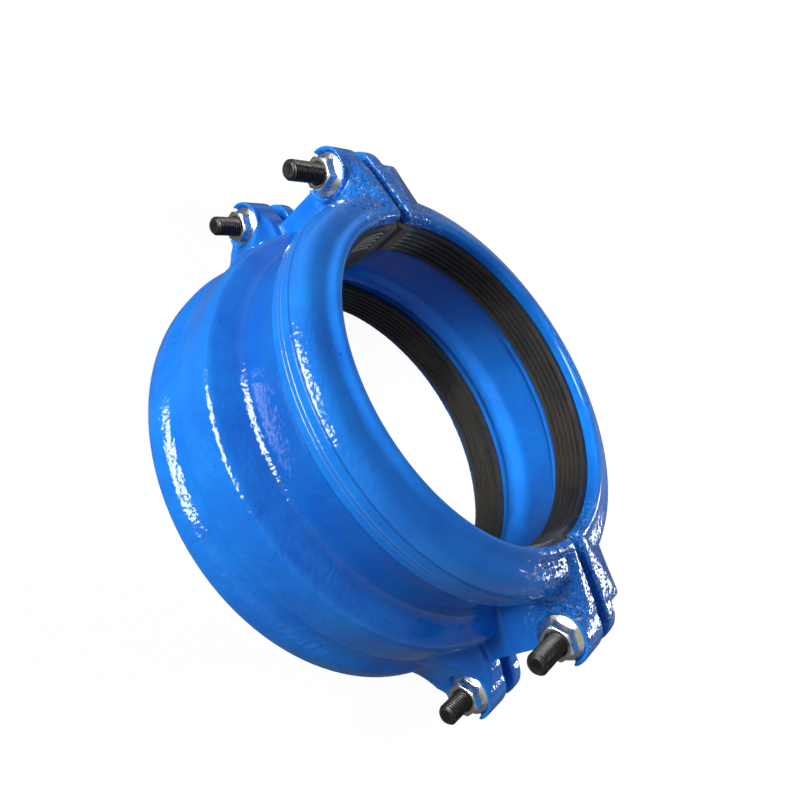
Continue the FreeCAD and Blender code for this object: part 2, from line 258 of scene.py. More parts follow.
@dataclass
class SharedEffects:
    """The node groups that several finishes use, each built once."""

    even_level: float = 0.5
    slow_share: float = 0.22
    pit_bend: float = 2.5 * MM
    pit_hollow: Span = (0.12, 0.42)
    pit_patch_share: float = 0.16
    pit_patch_edge: float = 6.0
    mottle: NodeTree = field(init=False)
    peel: NodeTree = field(init=False)
    pits: NodeTree = field(init=False)
    edges: NodeTree = field(init=False)

    def __post_init__(self) -> None:
        """Builds every group."""
        self.mottle = self._mottle()
        self.peel = self._peel()
        self.pits = self._pits()
        self.edges = self._edges()

    @staticmethod
    def _start(name: str, inputs: dict[str, float], outputs: Sequence[str]) -> tuple[NodeBench, Any, Any]:
        """Makes an empty group that reads a place and some numbers.

        Args:
            name: The group's name.
            inputs: The number inputs and their usual values.
            outputs: The names of the number outputs.

        Returns:
            The bench, the group's input sockets and the inputs of its output
            node.
        """
        tree = bpy.data.node_groups.new(name, "ShaderNodeTree")
        tree.interface.new_socket("Place", in_out="INPUT", socket_type="NodeSocketVector")
        for title, value in inputs.items():
            socket = tree.interface.new_socket(title, in_out="INPUT", socket_type="NodeSocketFloat")
            socket.default_value = value
        for title in outputs:
            tree.interface.new_socket(title, in_out="OUTPUT", socket_type="NodeSocketFloat")
        given, result = tree.nodes.new("NodeGroupInput"), tree.nodes.new("NodeGroupOutput")
        return NodeBench(tree), given.outputs, result.inputs

    def _mottle(self) -> NodeTree:
        """Makes slow patches with finer ones in them, from 0 to 1.

        Returns:
            The group.
        """
        bench, given, result = self._start("mottle", {"Scale": 30.0, "Contrast": 1.0}, ["Patches"])
        noise = bench.add("TexNoise", Vector=given["Place"], Scale=given["Scale"],
                          Detail=5.0, Roughness=0.62, Distortion=0.6)
        centred = bench.math("SUBTRACT", noise.outputs[0], self.even_level)
        spread = bench.product(centred, given["Contrast"])
        level = bench.add("Clamp", Value=bench.math("ADD", spread, self.even_level))
        bench.feed(result["Patches"], level.outputs[0])
        return bench.tree

    def _peel(self) -> NodeTree:
        """Makes the gentle dimples of a thick coat that flowed as it set.

        Returns:
            The group.
        """
        bench, given, result = self._start("peel", {"Scale": 240.0, "Waves": 0.5}, ["Height"])
        fine = bench.add("TexNoise", Vector=given["Place"], Scale=given["Scale"], Detail=1.5, Roughness=0.5)
        slow_scale = bench.product(given["Scale"], self.slow_share)
        slow = bench.add("TexNoise", Vector=given["Place"], Scale=slow_scale, Detail=2.0, Roughness=0.5)
        waves = bench.product(slow.outputs[0], given["Waves"])
        bench.feed(result["Height"], bench.math("ADD", fine.outputs[0], waves))
        return bench.tree

    def _pits(self) -> NodeTree:
        """Makes the small round hollows that a coat leaves over sand cast skin.

        Returns:
            The group.
        """
        bench, given, result = self._start("pits", {"Scale": 300.0, "Cover": 0.5}, ["Height"])
        bent = bench.add("TexNoise", Vector=given["Place"], Scale=given["Scale"], Detail=2.0)
        shift = bench.add("VectorMath", {"operation": "SCALE"}, Vector=bent.outputs[1], Scale=self.pit_bend)
        moved = bench.add("VectorMath", {"operation": "ADD"})
        bench.feed(moved.inputs[0], given["Place"])
        bench.feed(moved.inputs[1], shift.outputs[0])
        cells = bench.add("TexVoronoi", Vector=moved.outputs[0], Scale=given["Scale"], Randomness=1.0)
        hollow = bench.ramp(cells.outputs["Distance"], *self.pit_hollow)
        patch_scale = bench.product(given["Scale"], self.pit_patch_share)
        patch = bench.add("TexNoise", Vector=given["Place"], Scale=patch_scale)
        edge = bench.math("SUBTRACT", 1.0, given["Cover"])
        shown = bench.product(bench.math("SUBTRACT", patch.outputs[0], edge), self.pit_patch_edge)
        mask = bench.add("Clamp", Value=shown)
        depth = bench.product(bench.math("SUBTRACT", 1.0, hollow), mask.outputs[0])
        bench.feed(result["Height"], bench.math("SUBTRACT", 0.0, depth))
        return bench.tree

    def _edges(self) -> NodeTree:
        """Makes a mask of sharp outward turns, broken up by small patches.

        Returns:
            The group.
        """
        bench, given, result = self._start("edges", {"Reach": 0.06, "Broken": 400.0}, ["Mask"])
        pointiness = bench.add("NewGeometry").outputs["Pointiness"]
        share = bench.math("DIVIDE", bench.math("SUBTRACT", pointiness, self.even_level), given["Reach"])
        noise = bench.add("TexNoise", Vector=given["Place"], Scale=given["Broken"], Detail=3.0)
        mask = bench.add("Clamp", Value=bench.product(share, noise.outputs[0]))
        bench.feed(result["Mask"], mask.outputs[0])
        return bench.tree


@dataclass(frozen=True)
class Spot:
    """What the coat's masks read: a bench, the shared groups and a place taken apart."""

    bench: NodeBench
    effects: SharedEffects
    place: Socket
    x: Socket
    y: Socket
    z: Socket
    radius: Socket

    @classmethod
    def of(cls, bench: NodeBench, effects: SharedEffects, place: Socket) -> Spot:
        """Takes a place apart.

        Args:
            bench: The material's bench.
            effects: The shared node groups.
            place: The place on the piece.

        Returns:
            The place with its parts and its distance from the axis.
        """
        x, y, z = bench.add("SeparateXYZ", Vector=place).outputs
        flat = bench.add("CombineXYZ", X=x, Y=y).outputs[0]
        return cls(bench, effects, place, x, y, z, bench.length(flat))


@dataclass(frozen=True)
class Finish:
    """What every finish has: a name, slow patches and a roughness that follows them."""

    name: str
    roughness: Span
    patch_scale: float
    patch_contrast: float
    rough_levels: Span = (0.0, 1.0)

    def start(self, effects: SharedEffects) -> tuple[Material, NodeBench, Node, Socket, Socket]:
        """Makes a material with slow patches, which its roughness follows.

        Args:
            effects: The shared node groups.

        Returns:
            The material, its bench, its shader, the place on the piece and the
            patches, from 0 to 1.
        """
        material = bpy.data.materials.new(self.name)
        material.use_nodes = True
        bench = NodeBench(material.node_tree)
        shader = material.node_tree.nodes["Principled BSDF"]
        place = bench.add("TexCoord").outputs["Object"]
        patches = bench.group(effects.mottle, Place=place, Scale=self.patch_scale,
                              Contrast=self.patch_contrast).outputs["Patches"]
        bench.feed(shader.inputs["Roughness"], bench.ramp(patches, *self.rough_levels, *self.roughness))
        return material, bench, shader, place, patches


@dataclass(frozen=True)
class GrainedFinish(Finish):
    """A finish with one fine grain all over."""

    grain_scale: float = 1000.0
    grain_waves: float = 1.0
    grain_depth: float = 0.02 * MM

    def start(self, effects: SharedEffects) -> tuple[Material, NodeBench, Node, Socket, Socket]:
        """Makes a material with slow patches and the grain.

        Args:
            effects: The shared node groups.

        Returns:
            The same as for every finish.
        """
        material, bench, shader, place, patches = super().start(effects)
        grain = bench.group(effects.peel, Place=place, Scale=self.grain_scale, Waves=self.grain_waves)
        bench.feed(shader.inputs["Normal"], bench.relief((grain.outputs["Height"], self.grain_depth, 1.0)))
        return material, bench, shader, place, patches


@dataclass(frozen=True)
class MouldRing:
    """A fine ring round the narrow collar: its level, its reach to each side and its rise."""

    level: float
    reach: float
    rise: float


@dataclass(frozen=True)
class CoatMarks:
    """The masks that the coat's colour and its relief share."""

    root: Socket
    folds: Socket
    runs: Socket


@dataclass(frozen=True)
class EpoxyFinish(Finish):
    """Thick glossy blue epoxy over cast iron, dimpled, and pitted at the lug roots, with painted glints and
    painted shade in its colour.
    """

    name: str = "blue_epoxy"
    roughness: Span = (0.04, 0.14)
    patch_scale: float = 26.0
    patch_contrast: float = 1.6
    deep: Colour = (0.006, 0.138, 0.66, 1.0)
    bright: Colour = (0.012, 0.262, 0.86, 1.0)
    thin: Colour = (0.04, 0.36, 0.95, 1.0)
    # Dark colour of the painted shade in grooves and the neck's hollow, also used for the dark specks.
    painted_shade_and_specks: Colour = (0.004, 0.040, 0.30, 1.0)
    # Pale colour of the painted glints at the lug roots and the painted highlight lines on the ring ridges.
    painted_glint: Colour = (0.46, 0.66, 1.0, 1.0)
    film_reach: float = 0.09
    film_breaks: float = 160.0
    film_share: float = 0.55
    front: Span = (-122.0 * MM, -85.0 * MM)
    calm: float = 0.3
    peel_scale: float = 210.0
    peel_waves: float = 1.6
    peel_depth: float = 0.42 * MM
    ripple_scale: float = 460.0
    ripple_waves: float = 0.4
    ripple_depth: float = 0.30 * MM
    pit_scale: float = 480.0
    pit_cover: Span = (0.30, 0.74)
    pit_strength: Span = (0.12, 1.0)
    pit_depth: float = 1.10 * MM
    run_scale: float = 420.0
    run_arc: float = 16.0 * MM
    run_levels: Span = (0.59, 0.65)
    run_depth: float = 0.9 * MM
    dot_scale: float = 620.0
    dot_levels: Span = (0.59, 0.64)
    clump_scale: float = 110.0
    clump_levels: Span = (0.46, 0.56)
    # Root mask levels over which the painted glints fade in.
    painted_glint_levels: Span = (0.05, 0.6)
    speck_scale: float = 75.0
    speck_size: Span = (0.03, 0.055)
    speck_share: float = 0.85
    rings: tuple[MouldRing, ...] = (
        MouldRing(95.4 * MM, 0.8 * MM, -1.0),
        MouldRing(101.2 * MM, 0.6 * MM, 0.5),
        MouldRing(104.0 * MM, 0.7 * MM, 0.6),
        MouldRing(110.1 * MM, 0.9 * MM, -0.8),
    )
    fold_depth: float = 0.5 * MM
    fold_skin: Span = (119.5 * MM, 120.5 * MM)
    fold_ends: Span = (104.0 * MM, 118.0 * MM)
    # Share of painted highlight on the ridges of the mould rings.
    fold_painted_glint: float = 0.3
    # Shares of painted shade in the ring grooves and in the neck's hollow.
    fold_painted_shade: float = 0.7
    neck_shade_share: float = 0.42
    neck_inside: Span = (118.5 * MM, 119.5 * MM)
    neck_outside: Span = (123.5 * MM, 131.0 * MM)
    neck_foot: Span = (56.0 * MM, 62.0 * MM)
    neck_top: Span = (88.0 * MM, 96.0 * MM)
    root_across: float = 122.0 * MM
    root_height: float = 117.0 * MM
    root_squeeze: float = 0.7
    root_reach: Span = (18.2 * MM, 52.0 * MM)

    def build(self, effects: SharedEffects) -> Material:
        """Makes the material.

        Args:
            effects: The shared node groups.

        Returns:
            The material of both castings.
        """
        material, bench, shader, place, patches = self.start(effects)
        spot = Spot.of(bench, effects, place)
        marks = CoatMarks(self._root_mask(spot), self._folds(spot), self._runs(spot))
        film = bench.group(effects.edges, Place=place, Reach=self.film_reach, Broken=self.film_breaks)
        colour = bench.blend(patches, self.deep, self.bright)
        colour = bench.blend(bench.product(film.outputs["Mask"], self.film_share), colour, self.thin)
        # Painted glints at the lug roots and painted highlight lines on the ring ridges.
        colour = bench.blend(self._painted_glints(spot, marks), colour, self.painted_glint)
        # Painted shade in the ring grooves and in the neck's hollow behind the collar, plus dark specks.
        colour = bench.blend(self._painted_shade_and_specks(spot, marks), colour, self.painted_shade_and_specks)
        bench.feed(shader.inputs["Base Color"], colour)
        bench.feed(shader.inputs["Normal"], self._relief(spot, marks))
        return material

    def _relief(self, spot: Spot, marks: CoatMarks) -> Socket:
        """Lays the dimples, the pits, the runs and the rings.

        The coat is roughest at the front of the nut half and at the lug roots.

        Args:
            spot: The place on the piece.
            marks: The shared masks.

        Returns:
            The bent normal.
        """
        bench = spot.bench
        rough_share = bench.largest(bench.ramp(spot.x, *self.front, 1.0, self.calm), marks.root)
        peel = bench.group(spot.effects.peel, Place=spot.place, Scale=self.peel_scale, Waves=self.peel_waves)
        ripple = bench.group(spot.effects.peel, Place=spot.place, Scale=self.ripple_scale,
                             Waves=self.ripple_waves)
        cover = bench.ramp(marks.root, 0.0, 1.0, *self.pit_cover)
        pits = bench.group(spot.effects.pits, Place=spot.place, Scale=self.pit_scale, Cover=cover)
        pitted = bench.product(pits.outputs["Height"], bench.ramp(marks.root, 0.0, 1.0, *self.pit_strength))
        return bench.relief(
            (peel.outputs["Height"], self.peel_depth, rough_share),
            (ripple.outputs["Height"], self.ripple_depth, rough_share),
            (pitted, self.pit_depth, 1.0),
            (marks.runs, self.run_depth, marks.root),
            (marks.folds, self.fold_depth, 1.0),
        )

    def _painted_glints(self, spot: Spot, marks: CoatMarks) -> Socket:
        """Masks the painted glints: pale flecks painted at the lug roots and pale painted highlight lines
        along the rings' ridges.

        Args:
            spot: The place on the piece.
            marks: The shared masks.

        Returns:
            The mask.
        """
        bench = spot.bench
        dots = self._flecks(spot, spot.place, self.dot_scale, self.dot_levels)
        clumps = self._flecks(spot, spot.place, self.clump_scale, self.clump_levels)
        near = bench.ramp(marks.root, *self.painted_glint_levels)
        # Painted glints: pale flecks that stand for highlights in the rough skin near the lug roots.
        rubbed = bench.product(bench.largest(marks.runs, dots), near, clumps)
        # Painted highlight lines along the ridges of the mould rings.
        ring_glints = bench.product(bench.largest(marks.folds, 0.0), self.fold_painted_glint)
        return bench.largest(rubbed, ring_glints)

    def _painted_shade_and_specks(self, spot: Spot, marks: CoatMarks) -> Socket:
        """Masks the painted shade in the sunk ring grooves and in the neck's hollow, and scattered dark
        specks.

        Args:
            spot: The place on the piece.
            marks: The shared masks.

        Returns:
            The mask.
        """
        bench = spot.bench
        # Painted shade in the grooves of the mould rings.
        sunk_shade = bench.product(bench.largest(bench.product(marks.folds, -1.0), 0.0), self.fold_painted_shade)
        # Painted shade in the neck's recess behind the narrow collar.
        hollow = bench.product(self._neck_shade_mask(spot), self.neck_shade_share)
        cells = bench.add("TexVoronoi", Vector=spot.place, Scale=self.speck_scale, Randomness=1.0)
        specks = bench.ramp(cells.outputs["Distance"], *self.speck_size, self.speck_share, 0.0)
        return bench.largest(sunk_shade, hollow, specks)

    @staticmethod
    def _flecks(spot: Spot, place: Socket, scale: float, levels: Span) -> Socket:
        """Masks the high spots of a noise.

        Args:
            spot: The place on the piece.
            place: The place that the noise reads, which may be drawn out.
            scale: The noise's scale.
            levels: The levels between which a spot starts and is whole.

        Returns:
            The mask.
        """
        bench = spot.bench
        noise = bench.group(spot.effects.mottle, Place=place, Scale=scale, Contrast=1.0)
        return bench.ramp(noise.outputs["Patches"], *levels)

    def _runs(self, spot: Spot) -> Socket:
        """Masks flecks that are drawn out into arcs round the pipes.

        Args:
            spot: The place on the piece.

        Returns:
            The mask.
        """
        bench = spot.bench
        along = bench.product(bench.math("ARCTAN2", spot.y, spot.x), self.run_arc)
        drawn = bench.add("CombineXYZ", X=spot.radius, Y=along, Z=spot.z).outputs[0]
        return self._flecks(spot, drawn, self.run_scale, self.run_levels)

    def _folds(self, spot: Spot) -> Socket:
        """Makes the fine rings that the mould leaves round the narrow collar.

        Args:
            spot: The place on the piece.

        Returns:
            The height, from -1 in the grooves to 1 on the ridges.
        """
        bench = spot.bench
        height: Any = 0.0
        for ring in self.rings:
            away = bench.math("ABSOLUTE", bench.math("SUBTRACT", spot.z, ring.level))
            height = bench.math("ADD", height, bench.ramp(away, 0.0, ring.reach, ring.rise, 0.0))
        outside = bench.ramp(spot.radius, *self.fold_skin)
        off_lugs = bench.ramp(bench.math("ABSOLUTE", spot.y), *self.fold_ends, 1.0, 0.0)
        return bench.product(height, outside, off_lugs)

    def _neck_shade_mask(self, spot: Spot) -> Socket:
        """Masks the neck behind the narrow collar, where shade is painted dark.

        Args:
            spot: The place on the piece.

        Returns:
            The mask.
        """
        bench = spot.bench
        outer = bench.ramp(spot.radius, *self.neck_outside, 1.0, 0.0)
        inner = bench.ramp(spot.radius, *self.neck_inside)
        foot = bench.ramp(spot.z, *self.neck_foot)
        top = bench.ramp(spot.z, *self.neck_top, 1.0, 0.0)
        return bench.product(outer, inner, foot, top)

    def _root_mask(self, spot: Spot) -> Socket:
        """Masks the tops of the lug roots, where the skin is rough.

        Args:
            spot: The place on the piece.

        Returns:
            The mask.
        """
        bench = spot.bench
        across = bench.math("SUBTRACT", bench.math("ABSOLUTE", spot.y), self.root_across)
        along = bench.product(spot.x, self.root_squeeze)
        height = bench.math("SUBTRACT", spot.z, self.root_height)
        offset = bench.add("CombineXYZ", X=along, Y=across, Z=height).outputs[0]
        return bench.ramp(bench.length(offset), *self.root_reach, 1.0, 0.0)


@dataclass(frozen=True)
class RubberFinish(GrainedFinish):
    """Dark moulded rubber with a dull brown bloom, browner at its ends."""

    name: str = "gasket_rubber"
    roughness: Span = (0.34, 0.56)
    rough_levels: Span = (0.1, 0.9)
    patch_scale: float = 42.0
    patch_contrast: float = 2.2
    grain_scale: float = 900.0
    grain_waves: float = 0.8
    grain_depth: float = 0.05 * MM
    black: Colour = (0.016, 0.015, 0.014, 1.0)
    bloom: Colour = (0.075, 0.065, 0.052, 1.0)
    ends: Colour = (0.120, 0.100, 0.070, 1.0)
    bloom_share: float = 0.6
    rub_reach: float = 0.12
    rub_breaks: float = 220.0
    end_reach: Span = (12.0 * MM, 15.0 * MM)

    def build(self, effects: SharedEffects) -> Material:
        """Makes the material.

        Args:
            effects: The shared node groups.

        Returns:
            The material of both gaskets.
        """
        material, bench, shader, place, patches = self.start(effects)
        rubbed = bench.group(effects.edges, Place=place, Reach=self.rub_reach, Broken=self.rub_breaks)
        share = bench.largest(bench.product(patches, self.bloom_share), rubbed.outputs["Mask"])
        side = bench.math("ABSOLUTE", bench.add("SeparateXYZ", Vector=place).outputs[0])
        near = bench.ramp(side, *self.end_reach, 1.0, 0.0)
        base = bench.blend(share, self.black, self.bloom)
        bench.feed(shader.inputs["Base Color"], bench.blend(near, base, self.ends))
        return material


@dataclass(frozen=True)
class OxideFinish(GrainedFinish):
    """Oiled black oxide on rolled threads, worn to grey along the crests."""

    name: str = "black_oxide"
    roughness: Span = (0.26, 0.51)
    patch_scale: float = 180.0
    patch_contrast: float = 1.8
    grain_scale: float = 1600.0
    grain_waves: float = 0.6
    black: Colour = (0.011, 0.010, 0.010, 1.0)
    worn: Colour = (0.13, 0.12, 0.11, 1.0)
    metallic: Span = (0.25, 1.0)
    wear_reach: float = 0.10
    wear_breaks: float = 900.0

    def build(self, effects: SharedEffects) -> Material:
        """Makes the material.

        Args:
            effects: The shared node groups.

        Returns:
            The material of the track bolts.
        """
        material, bench, shader, place, _ = self.start(effects)
        wear = bench.group(effects.edges, Place=place, Reach=self.wear_reach, Broken=self.wear_breaks)
        bench.feed(shader.inputs["Base Color"], bench.blend(wear.outputs["Mask"], self.black, self.worn))
        bench.feed(shader.inputs["Metallic"], bench.ramp(wear.outputs["Mask"], 0.0, 1.0, *self.metallic))
        return material


@dataclass(frozen=True)
class ZincFinish(GrainedFinish):
    """Bright zinc plate with a faint cloud and fine scuffs."""

    name: str = "bright_zinc"
    roughness: Span = (0.17, 0.33)
    patch_scale: float = 140.0
    patch_contrast: float = 2.0
    grain_scale: float = 1300.0
    grain_depth: float = 0.012 * MM
    bright: Colour = (0.92, 0.90, 0.84, 1.0)
    dull: Colour = (0.70, 0.68, 0.62, 1.0)

    def build(self, effects: SharedEffects) -> Material:
        """Makes the material.

        Args:
            effects: The shared node groups.

        Returns:
            The material of the flange nuts.
        """
        material, bench, shader, _, patches = self.start(effects)
        bench.feed(shader.inputs["Base Color"], bench.blend(patches, self.bright, self.dull))
        shader.inputs["Metallic"].default_value = 1.0
        return material


@dataclass
class Finishes:
    """The four materials of the coupling."""

    effects: SharedEffects = field(default_factory=SharedEffects)
    epoxy: Material = field(init=False)
    rubber: Material = field(init=False)
    oxide: Material = field(init=False)
    zinc: Material = field(init=False)

    def __post_init__(self) -> None:
        """Builds the materials."""
        self.epoxy = EpoxyFinish().build(self.effects)
        self.rubber = RubberFinish().build(self.effects)
        self.oxide = OxideFinish().build(self.effects)
        self.zinc = ZincFinish().build(self.effects)


def paint(piece: Object, material: Material) -> None:
    """Gives a whole piece one material.

    Args:
        piece: The piece.
        material: Its finish.
    """
    if not piece.material_slots:
        piece.data.materials.append(material)
    for slot in piece.material_slots:
        slot.link = "OBJECT"
        slot.material = material


def soften(piece: Object, name: str, width: float, sharp: float) -> None:
    """Rounds the sharp edges of a piece.

    Args:
        piece: The piece.
        name: The modifier's name.
        width: The width of the rounds.
        sharp: The turn from which an edge counts as sharp.
    """
    bevel = piece.modifiers.new(name, "BEVEL")
    bevel.width = width
    bevel.segments = 2
    bevel.limit_method = "ANGLE"
    bevel.angle_limit = sharp
    bevel.harden_normals = True


@dataclass
class Skin:
    """Gathers the points and faces of one mesh piece."""

    points: list[Vector] = field(default_factory=list)
    faces: list[Sequence[int]] = field(default_factory=list)

    def ring(self, points: Sequence[Vector]) -> list[int]:
        """Adds a closed ring of points.

        Args:
            points: The ring's points, in order.

        Returns:
            The indexes of the new points.
        """
        first = len(self.points)
        self.points.extend(points)
        return list(range(first, len(self.points)))

    def bridge(self, low: Sequence[int], high: Sequence[int]) -> None:
        """Joins two rings of the same count with a band of faces.

        Args:
            low: The first ring.
            high: The second ring.
        """
        count = len(low)
        for index in range(count):
            after = (index + 1) % count
            self.faces.append((low[index], low[after], high[after], high[index]))

    def cap(self, ring: Sequence[int], flipped: bool = False) -> None:
        """Closes a ring with one face.

        Args:
            ring: The ring.
            flipped: Whether the face looks back along the rings.
        """
        self.faces.append(tuple(reversed(ring)) if flipped else tuple(ring))

    def piece(self, name: str, sharp: float = math.radians(40.0)) -> Object:
        """Turns the skin into an object with smooth faces and sharp corners.

        Args:
            name: The object's name.
            sharp: The turn at which an edge stays sharp.

        Returns:
            The new object, linked to the scene.
        """
        mesh = bpy.data.meshes.new(name)
        mesh.from_pydata([tuple(point) for point in self.points], [], [tuple(face) for face in self.faces])
        mesh.validate()
        mesh.shade_smooth()
        mesh.set_sharp_from_angle(angle=sharp)
        made = bpy.data.objects.new(name, mesh)
        bpy.context.scene.collection.objects.link(made)
        return made


@dataclass
class CastHalf:
    """One casting: its solid, smoothed as a coated casting is."""

    half: Half
    material: Material
    voxel: float = 0.85 * MM
    quick_voxel: float = 1.7 * MM
    smooth_share: float = 0.5
    smooth_rounds: int = 10
    kept_share: float = 0.34

    def dress(self, nodes: dict[str, Object]) -> Object:
        """Rounds the edges of the casting and coats it.

        Args:
            nodes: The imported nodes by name.

        Returns:
            The casting.
        """
        casting = nodes["shell_" + self.half.value]
        remesh = casting.modifiers.new("even_skin", "REMESH")
        remesh.mode = "VOXEL"
        remesh.voxel_size = self.voxel
        remesh.use_smooth_shade = True
        smooth = casting.modifiers.new("soft_edges", "SMOOTH")
        smooth.factor = self.smooth_share
        smooth.iterations = self.smooth_rounds
        thin = casting.modifiers.new("fewer_faces", "DECIMATE")
        thin.ratio = self.kept_share
        paint(casting, self.material)
        return casting


@dataclass
class RubberHalf:
    """One gasket: its solid with softened mould edges."""

    half: Half
    material: Material
    edge: float = 0.35 * MM
    sharp: float = math.radians(25.0)

    def dress(self, nodes: dict[str, Object]) -> Object:
        """Softens the gasket's edges and gives it its rubber.

        Args:
            nodes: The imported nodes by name.

        Returns:
            The gasket.
        """
        gasket = nodes["gasket_" + self.half.value]
        soften(gasket, "mould_edges", self.edge, self.sharp)
        paint(gasket, self.material)
        return gasket


@dataclass
class Fastener:
    """What a bolt and its nut share: where they are and how fine they are."""

    corner: Corner
    material: Material
    sides: int = 48

    def turn_profile(self, skin: Skin, profile: Sequence[tuple[Reach, Reach]],
                     y: float, z: float) -> list[list[int]]:
        """Adds the rings of a profile that is turned about an axis along X.

        Args:
            skin: The skin that gets the rings.
            profile: The place along the axis and the radius of each ring, as
                numbers or as functions of the angle.
            y: The axis across the pipes.
            z: The axis along the pipes.

        Returns:
            The rings, in order.
        """
        rings = []
        for level, radius in profile:
            points = []
            for index in range(self.sides):
                angle = math.tau * index / self.sides
                x = level(angle) if callable(level) else level
                reach = radius(angle) if callable(radius) else radius
                points.append(Vector((x, y + reach * math.cos(angle), z + reach * math.sin(angle))))
            rings.append(skin.ring(points))
        return rings


@dataclass
class TrackBolt(Fastener):
    """A cup head bolt with a rolled thread."""

    pitch: float = 1.75 * MM
    sharp: float = math.radians(38.0)
    major: float = 6.0 * MM
    minor: float = 4.75 * MM
    thread_length: float = 50.0 * MM
    thread_start: float = 0.12 * MM
    crest_share: float = 0.14
    flank_share: float = 0.66
    run_out_turns: int = 2
    steps: int = 10
    tip_radius: float = 4.4 * MM
    tip_round: float = 0.5 * MM
    hollow: tuple[Span, ...] = ((0.35 * MM, 0.9 * MM), (0.14 * MM, 2.6 * MM))
    head_height: float = 7.0 * MM
    head_edge: float = 2.4 * MM
    edge_round: float = 0.8 * MM
    edge_cut: float = 0.24 * MM
    dome_inset: float = 0.32 * MM
    dome_rings: int = 12
    neck_radius: float = 6.0 * MM
    neck_half_length: float = 8.5 * MM
    neck_depth: float = 5.0 * MM
    neck_step: float = 0.4 * MM

    def _thread_radius(self, turns: float, cone: float, fade: float, angle: float) -> float:
        """The radius of the thread, cut down at its tip and filled at its run-out.

        Args:
            turns: The place along the thread, in pitches.
            cone: The radius of the tip's chamfer there.
            fade: The share of the run-out there.
            angle: The angle about the bolt's axis.

        Returns:
            The radius there.
        """
        share = abs(((turns - angle / math.tau) % 1.0) - 0.5) * 2.0
        flank = min(max((share - self.crest_share) / self.flank_share, 0.0), 1.0)
        cut = self.major - (self.major - self.minor) * flank
        return min(cone, cut + (self.major - cut) * fade)

    def build(self) -> Object:
        """Makes the bolt in place of its plain solid.

        Returns:
            The bolt.
        """
        node = "track_bolt_" + self.corner.value
        low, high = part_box(node)
        y, z = (low.y + high.y) / 2, (low.z + high.z) / 2
        head_radius = (high.y - low.y) / 2
        tip, seat = low.x, high.x - self.head_height
        skin = Skin()
        profile = self._thread_profile(tip, seat) + self._head_profile(seat, head_radius)
        rings = self.turn_profile(skin, profile, y, z)
        skin.cap(rings[0], flipped=True)
        for before, after in zip(rings, rings[1:]):
            skin.bridge(before, after)
        skin.cap(rings[-1])
        bolt = skin.piece("threaded_bolt_" + self.corner.value, self.sharp)
        paint(bolt, self.material)
        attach(bolt, Half.BOLT.value)
        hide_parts(node)
        return bolt

    def _thread_profile(self, tip: float, seat: float) -> list[tuple[float, Reach]]:
        """Outlines the hollow tip, the chamfered thread, its run-out and the plain shank.

        Args:
            tip: The place of the threaded end along the axis.
            seat: The place of the head's underside along the axis.

        Returns:
            The place and the radius of each ring, from the tip to the neck.
        """
        profile: list[tuple[float, Reach]] = [(tip + depth, radius) for depth, radius in self.hollow]
        profile.append((tip, self.tip_radius - self.tip_round))
        count = round(self.thread_length / self.pitch * self.steps)
        run_out = self.run_out_turns * self.steps
        for index in range(count + 1):
            x = tip + self.thread_start + index * self.pitch / self.steps
            cone = self.tip_radius + (x - tip)
            fade = min(max((index - count + run_out) / run_out, 0.0), 1.0)
            profile.append((x, partial(self._thread_radius, index / self.steps, cone, fade)))
        profile.append((seat - self.neck_depth - self.neck_step, self.major))
        return profile

    def _neck_radius(self, angle: float) -> float:
        """The radius of the oval neck, which is longer along the pipes.

        Args:
            angle: The angle about the bolt's axis.

        Returns:
            The radius there.
        """
        straight = self.neck_half_length - self.neck_radius
        sine = abs(math.sin(angle))
        cosine = abs(math.cos(angle))
        if cosine * straight >= sine * self.neck_radius:
            return self.neck_radius / cosine
        inner = self.neck_radius ** 2 - (straight * cosine) ** 2
        return straight * sine + math.sqrt(max(inner, 0.0))

    def _head_profile(self, seat: float, head_radius: float) -> list[tuple[float, Reach]]:
        """Outlines the oval neck and the domed cup head.

        Args:
            seat: The place of the head's underside along the axis.
            head_radius: The head's radius.

        Returns:
            The place and the radius of each ring, from the neck to the top.
        """
        profile: list[tuple[float, Reach]] = [
            (seat - self.neck_depth, self._neck_radius),
            (seat, self._neck_radius),
            (seat, head_radius - self.edge_round),
            (seat + self.edge_cut, head_radius - self.edge_cut),
            (seat + self.edge_round, head_radius),
            (seat + self.head_edge - self.edge_round, head_radius),
        ]
        rise = self.head_height - self.head_edge
        dome = (head_radius ** 2 + rise ** 2) / (2 * rise)
        for index in range(1, self.dome_rings + 1):
            across = (head_radius - self.dome_inset) * math.cos(math.pi / 2 * index / (self.dome_rings + 1))
            profile.append((seat + self.head_height - dome + math.sqrt(dome ** 2 - across ** 2), across))
        return profile


